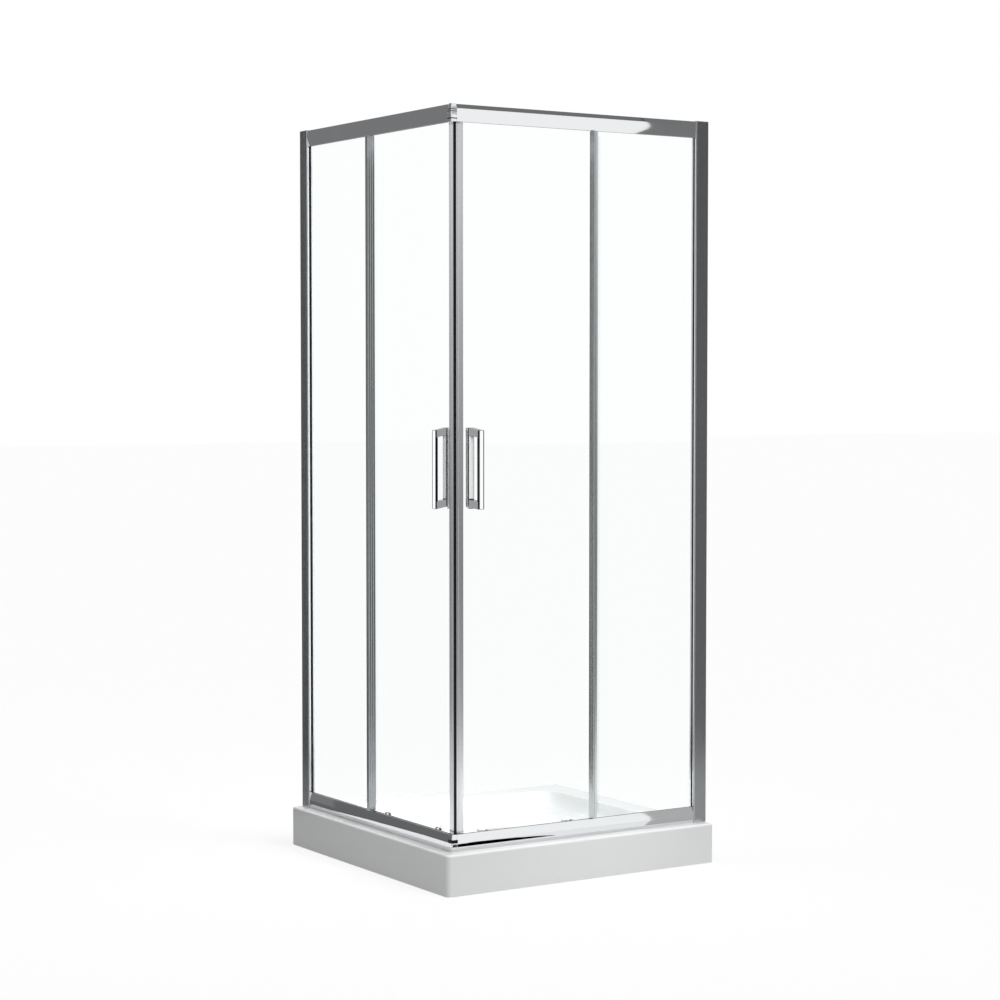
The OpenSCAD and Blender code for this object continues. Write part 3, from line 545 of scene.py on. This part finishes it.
def turned(rings, u, z, steps=48):
    """Points and faces of a piece turned round an axis that runs into the cabin, from rings
    of (distance into the cabin, radius) that close on themselves."""
    points = [(u + r * math.cos(turn), v, z + r * math.sin(turn))
              for turn in [2 * math.pi * i / steps for i in range(steps)] for v, r in rings]
    count = len(rings)
    faces = [(i * count + j, i * count + (j + 1) % count,
              (i + 1) % steps * count + (j + 1) % count, (i + 1) % steps * count + j)
             for i in range(steps) for j in range(count)]
    return points, faces


# The button's cap, which covers the end of the clamp
button_r = 4.3
button_t = 1.6
button_drop = 4.5
button_sink = 0.6
button_rim = 0.9
button_round = 0.6
for side in SIDES:
    soften(f"{side}_top_carriers", 0.5, white_acetal)
    soften(f"{side}_bottom_housings", 0.5, white_acetal)
    _, (clamp_v, _), (_, housing_z) = span(f"{side}_bottom_housings")
    for end in ENDS:
        soften(f"{side}_release_{end}", 0.5, white_acetal)
        (u0, u1), _, _ = span(f"{side}_low_wheel_{end}")
        back = clamp_v + button_sink
        front = back - button_t
        rings = [(back, button_round), (back, button_r), (back - button_rim, button_r),
                 (front, button_r - button_round), (front, button_round)]
        button = side_piece(f"{side}_clamp_button_{end}", side,
                            *turned(rings, (u0 + u1) / 2, housing_z - button_drop))
        dress(button, 0.2, foot_plastic)
        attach(button, body_of[f"{side}_bottom_housings"])


# Wheels: nylon rollers with a groove that lies on the rail's bead. Each is turned and pressed
# on a steel bearing, which sits on its own axle.
# Nylon, turned: a warm white with a soft sheen
nylon = surface("nylon_turned_white", (0.32, 0.44), (6, 6, 6), (0.9, 0.9, 0.9), 0.03,
                Base_Color=colour("E6E6E2"), IOR=1.53)

# The bearing: two steel races with a dished shield between them
bearing_r = 5.4
bearing_hole_r = 2.05
bearing_sink = 0.1
outer_race = 0.8
inner_race = 1.5
race_gap = 0.1
shield_deep = 0.5
shield_dish = 0.3

# The tyre: its groove is an arc round the rail's bead, between two rounded shoulders
bead_r = 1.6
bead_clear = 0.4
groove_turns = (-70, -45, -20, 0, 20, 45, 70)
shoulder_v = 0.4
shoulder_r = 0.6
tyre_edge = 0.15
for side in SIDES:
    for name in [f"{side}_{level}_wheel_{end}" for level in ("top", "low") for end in ENDS]:
        (u0, u1), (v0, v1), (z0, z1) = span(name)
        centre = ((u0 + u1) / 2, (z0 + z1) / 2)
        middle = (v0 + v1) / 2
        outer = (u1 - u0) / 2
        groove = [(middle + bead_r * math.sin(turn), outer + bead_clear - bead_r * math.cos(turn))
                  for turn in [math.radians(degrees) for degrees in groove_turns]]
        tyre = side_piece(f"{name}_tyre", side, *turned(
            [(v0, bearing_r), (v0, outer - shoulder_r), (v0 + shoulder_v, outer)] + groove
            + [(v1 - shoulder_v, outer), (v1, outer - shoulder_r), (v1, bearing_r)], *centre))
        stand_for(name, tyre, tyre_edge, nylon)
        front = v0 + bearing_sink
        back = v1 - bearing_sink
        inner_r = bearing_hole_r + inner_race
        outer_r = bearing_r - outer_race
        bearing = side_piece(f"{name}_bearing", side, *turned(
            [(v0 + shield_deep, inner_r + race_gap),
             (v0 + shield_deep + shield_dish, outer_r - race_gap), (front, outer_r),
             (front, bearing_r), (back, bearing_r), (back, outer_r),
             (v1 - shield_deep - shield_dish, outer_r - race_gap),
             (v1 - shield_deep, inner_r + race_gap), (back, inner_r), (back, bearing_hole_r),
             (front, bearing_hole_r), (front, inner_r)], *centre))
        dress(bearing, thin_edge, zinc_steel)
        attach(bearing, body_of[name])


# Studio: a pale floor and a white surround, soft light from the right, from above and, on a
# few pieces, from the left, and cards in front of the stall's two sides that only its metal
# mirrors.
def stage_plane(name, points, material):
    """A flat piece of the studio."""
    mesh = bpy.data.meshes.new(name)
    mesh.from_pydata(points, [], [tuple(range(len(points)))])
    mesh.materials.append(material)
    made = bpy.data.objects.new(name, mesh)
    bpy.context.scene.collection.objects.link(made)
    return made


def seen_ray(tree):
    """1 for what the camera sees, directly, in a mirror or through glass."""
    path = add(tree, "LightPath")
    either = add(tree, "Math", {0: path.outputs["Is Camera Ray"],
                                1: path.outputs["Is Glossy Ray"]}, operation="MAXIMUM")
    return add(tree, "Math", {0: either.outputs[0], 1: path.outputs["Is Transmission Ray"]},
               operation="MAXIMUM").outputs[0]


# Painted floor, matt: its own grey and the glow that lifts it to white where it is seen
def painted_floor():
    """A floor that shows its shadows, and doesn't throw its glow on the stall."""
    made = surface("painted_floor_matt", (0.85, 0.95), (400, 400, 400), (50, 50, 50), 0.01,
                   Base_Color=colour("7C7C7C"), Specular_IOR_Level=0.0)
    tree = made.node_tree
    shader = tree.nodes["Principled BSDF"]
    glow = add(tree, "Emission", Strength=0.82)
    both = add(tree, "AddShader", {0: shader.outputs[0], 1: glow.outputs[0]})
    mix = add(tree, "MixShader", {0: seen_ray(tree), 1: shader.outputs[0], 2: both.outputs[0]})
    tree.links.new(mix.outputs[0], tree.nodes["Material Output"].inputs["Surface"])
    return made


floor_half = 40
stage_plane("studio_floor", [(-floor_half, -floor_half, 0), (floor_half, -floor_half, 0),
                             (floor_half, floor_half, 0), (-floor_half, floor_half, 0)],
            painted_floor())


def lit_only(thing, receivers):
    """Lets a lamp or a card light only these pieces."""
    lit = bpy.data.collections.new(thing.name + "_lit")
    for name in receivers:
        lit.objects.link(bpy.data.objects[name])
    thing.light_linking.receiver_collection = lit


card_top = 2.5


def card(name, points, levels, receivers=()):
    """A flat card that only metal mirrors, graded by height from (metres, level) pairs.
    A card with receivers hides nothing and adds its level for those pieces alone."""
    made = bpy.data.materials.new(name)
    made.use_nodes = True
    tree = made.node_tree
    place = add(tree, "NewGeometry").outputs["Position"]
    height = add(tree, "SeparateXYZ", {"Vector": place}).outputs["Z"]
    share = add(tree, "MapRange", {"Value": height}, From_Max=card_top)
    grade = add(tree, "ValToRGB", {"Fac": share.outputs["Result"]})
    stops = grade.color_ramp.elements
    while len(stops) < len(levels):
        stops.new(1.0)
    for stop, (at, level) in zip(stops, levels):
        stop.position = at / card_top
        stop.color = (level, level, level, 1)
    glow = add(tree, "Emission", {"Color": grade.outputs["Color"]})
    open_way = add(tree, "BsdfTransparent", Color=(1, 1, 1, 1) if receivers else (0, 0, 0, 1))
    both = add(tree, "AddShader", {0: glow.outputs[0], 1: open_way.outputs[0]})
    tree.links.new(both.outputs[0], tree.nodes["Material Output"].inputs["Surface"])
    plane = stage_plane(name, points, made)
    plane.visible_camera = False
    plane.visible_diffuse = False
    plane.visible_shadow = False
    plane.visible_transmission = False
    if receivers:
        lit_only(plane, receivers)


# Each card that adds its level has a layer of its own, 4 mm in front of the one before, or
# 2 mm above it on the floor. Where a card starts and ends along its side, in metres, is worked
# out from the place where the piece that mirrors it is seen.
left_x = -1.0
right_y = -1.4
layer_gap = 0.004
floor_gap = 0.002


def left_card(name, y0, y1, z0, z1, levels, layer=0, receivers=()):
    """A card that stands in front of the stall's left side."""
    x = left_x + layer * layer_gap
    card(name, [(x, y0, z0), (x, y1, z0), (x, y1, z1), (x, y0, z1)], levels, receivers)


def right_card(name, x0, x1, z0, z1, levels, layer=0, receivers=()):
    """A card that stands in front of the stall's right side."""
    y = right_y + layer * layer_gap
    card(name, [(x0, y, z0), (x1, y, z0), (x1, y, z1), (x0, y, z1)], levels, receivers)


def even(level):
    """The same level from the floor to the top."""
    return [(0, level), (card_top, level)]


def floor_card(name, points, level, layer=0, receivers=()):
    """A card that lies on the floor."""
    z = floor_gap * (1 + layer)
    card(name, [(x, y, z) for x, y in points], even(level), receivers)


# Grey cards, which every piece mirrors: darker beyond where the wall profiles see them, and
# with a black flag on the floor for the dark line along the right bottom rail. The right
# ones start a little above the floor, so that this rail mirrors the floor in front of them.
left_far_y = 1.33
right_far_x = 0.955
right_low = 0.06
left_card("left_card", -0.2, left_far_y, 0.0, card_top,
          [(0, 0.15), (0.35, 0.16), (0.6, 0.22), (card_top, 0.22)])
left_card("left_far_card", left_far_y, 2.4, 0.0, card_top, even(0.05))
right_card("right_card", -0.6, right_far_x, right_low, card_top, even(0.19))
right_card("right_far_card", right_far_x, 2.0, right_low, card_top,
           [(0, 0.13), (card_top, 0.08)])
floor_card("left_far_floor_card", [(-1, 0.75), (-0.42, 0.75), (-0.42, 2.2), (-1, 2.2)], 0.15)
right_floor = [(0.271, -0.45), (1.693, -2.4), (3, -2.4), (3, -0.45)]
flag = [(-0.17, -0.82), (0.242, -0.82), (0.61, -1.87), (0.353, -1.48), (0.14, -1.3)]
floor_card("right_far_floor_card", right_floor, 0.3)
floor_card("black_flag", flag, 0.0)
floor_card("right_rail_floor_card", right_floor, 0.2, 1, ["right_bottom_rail_body"])
floor_card("flag_cover", flag, 0.85, 2, ["right_closing_profile", "right_post_profile"])

# A light gradient over them for the closing profiles and the right post: pale at the top and
# at the bottom, and dark at the middle
pale_ends = [(0, 0.72), (0.1, 0.6), (0.3, 0.19), (0.73, 0.08), (1.47, 0.33), (1.88, 0.56),
             (2.3, 0.6)]
post_ends = [(at, 1.3 * level + 0.06) for at, level in pale_ends]
post_x = 0.55
left_card("left_graded_card", -0.2, 0.98, 0.0, card_top, pale_ends, 1,
          ["left_closing_profile"])
right_card("right_graded_card", -0.6, post_x, 0.0, card_top, pale_ends, 1,
           ["right_closing_profile"])
right_card("right_post_card", post_x, 1.09, 0.0, card_top, post_ends, 1,
           ["right_post_profile"])

# Lighter cards for the rails, the corner joints, the handles and the panel profiles: white
# for the pieces that mirror a white window, grey for the others
handle_low = 0.6
handle_high = 1.7
window_high = 2.07
right_rails = ["right_top_rail_body", "right_bottom_rail_body"]
left_card("left_plate_card", 0.1, 1.1, handle_low, handle_high, even(0.9), 2,
          ["left_outer_handle_plate"])
left_card("left_jaw_card", 1.0, 1.9, 0.0, card_top, even(0.8), 3,
          ["right_panel_profile_body", "right_wall_profile_body"])
left_card("left_rail_card", 1.3, 2.2, 0.0, card_top, even(0.17), 4,
          ["left_top_rail_body", "left_bottom_rail_body"])
left_card("left_bar_card", 0.2, 1.1, handle_low, handle_high, even(0.6), 5,
          ["right_outer_handle_body", "right_inner_handle_body"])
right_card("right_jaw_card", 0.0, 1.2, 0.0, card_top, even(1.3), 2,
           ["left_panel_profile_body"])
right_card("right_white_card", -0.3, right_far_x, right_low, window_high, even(0.9), 3,
           right_rails + ["right_outer_handle_plate", "top_corner_joint_body",
                          "bottom_corner_joint_body"])
right_card("right_rail_end_card", right_far_x, 2.0, right_low, card_top,
           [(0, 0.38), (0.6, 0.38), (1.2, 0.12), (card_top, 0.12)], 3, right_rails)
right_card("right_reveal_card", 1.0, 1.6, 0.0, card_top, even(0.5), 4,
           ["right_panel_profile_body"])
right_card("right_bar_card", -0.2, 0.8, handle_low, handle_high, even(0.6), 5,
           ["left_outer_handle_body", "left_inner_handle_body"])
right_card("right_joint_card", -0.3, 0.6, window_high, card_top, even(0.4), 4,
           ["top_corner_joint_body"])

# A white surround for the eye, and a weak even fill for the light that falls on the stall
world = bpy.data.worlds.new("studio")
world.use_nodes = True
bpy.context.scene.world = world
tree = world.node_tree
fill = add(tree, "Background", Color=(1, 1, 1, 1), Strength=0.2)
white = add(tree, "Background", Color=(1, 1, 1, 1), Strength=1.0)
choice = add(tree, "MixShader", {0: seen_ray(tree), 1: fill.outputs[0], 2: white.outputs[0]})
tree.links.new(choice.outputs[0], tree.nodes["World Output"].inputs["Surface"])


def soft_sun(name, towards, strength, receivers=()):
    """Soft light from one direction over the whole stall, or only on some pieces."""
    lamp = bpy.data.lights.new(name, "SUN")
    lamp.energy = strength
    lamp.angle = math.radians(sun_spread)
    made = bpy.data.objects.new(name, lamp)
    made.rotation_euler = Vector(towards).to_track_quat("Z", "Y").to_euler()
    made.visible_glossy = False
    bpy.context.scene.collection.objects.link(made)
    if receivers:
        lit_only(made, receivers)


# The key light comes from the front right, and one from above fills it up. Two others come
# from the left, for the basin's far wall and for the lacquered faces of the handles alone.
sun_spread = 50
soft_sun("key_sun", (0.25, -0.75, 0.6), 1.88)
soft_sun("top_sun", (0, 0, 1), 0.7)
soft_sun("basin_sun", (-0.85, -0.1, 0.3), 0.45, ["tray"])
soft_sun("handle_sun", (-0.6, -0.6, 0.3), 2.0,
         [f"{side}_{face}" for face in ("outer_handle_bar_face", "inner_handle_pad")
          for side in SIDES])


def tray_lamp(name, place, aim, size, power):
    """A small soft lamp for one face of the tray's skirt."""
    lamp = bpy.data.lights.new(name, "AREA")
    lamp.size = size
    lamp.energy = power
    made = bpy.data.objects.new(name, lamp)
    made.location = place
    made.rotation_euler = (Vector(place) - Vector(aim)).to_track_quat("Z", "Y").to_euler()
    made.visible_camera = False
    made.visible_glossy = False
    bpy.context.scene.collection.objects.link(made)
    lit_only(made, ["tray"])


tray_lamp("left_skirt_lamp", (-1.3, -0.55, 0.35), (-0.4, -0.3, 0.05), 0.4, 1.1)
tray_lamp("right_skirt_lamp", (0.05, -0.85, 0.2), (0.05, -0.4, 0.05), 0.3, 0.3)


# Camera: where the photo was taken from, fitted to the edges of the tray and of the frame
eye = (-3.3626, -5.2667, 1.2335)
looks_down = 2.77
turned_right = 32.59
lens_mm = 86.11
film_mm = 36
camera = bpy.data.objects.new("camera", bpy.data.cameras.new("camera"))
camera.location = eye
camera.rotation_euler = (math.radians(90 - looks_down), 0, math.radians(-turned_right))
camera.data.lens = lens_mm
camera.data.sensor_width = film_mm
bpy.context.scene.collection.objects.link(camera)
bpy.context.scene.camera = camera
bpy.context.scene.view_settings.view_transform = "Standard"
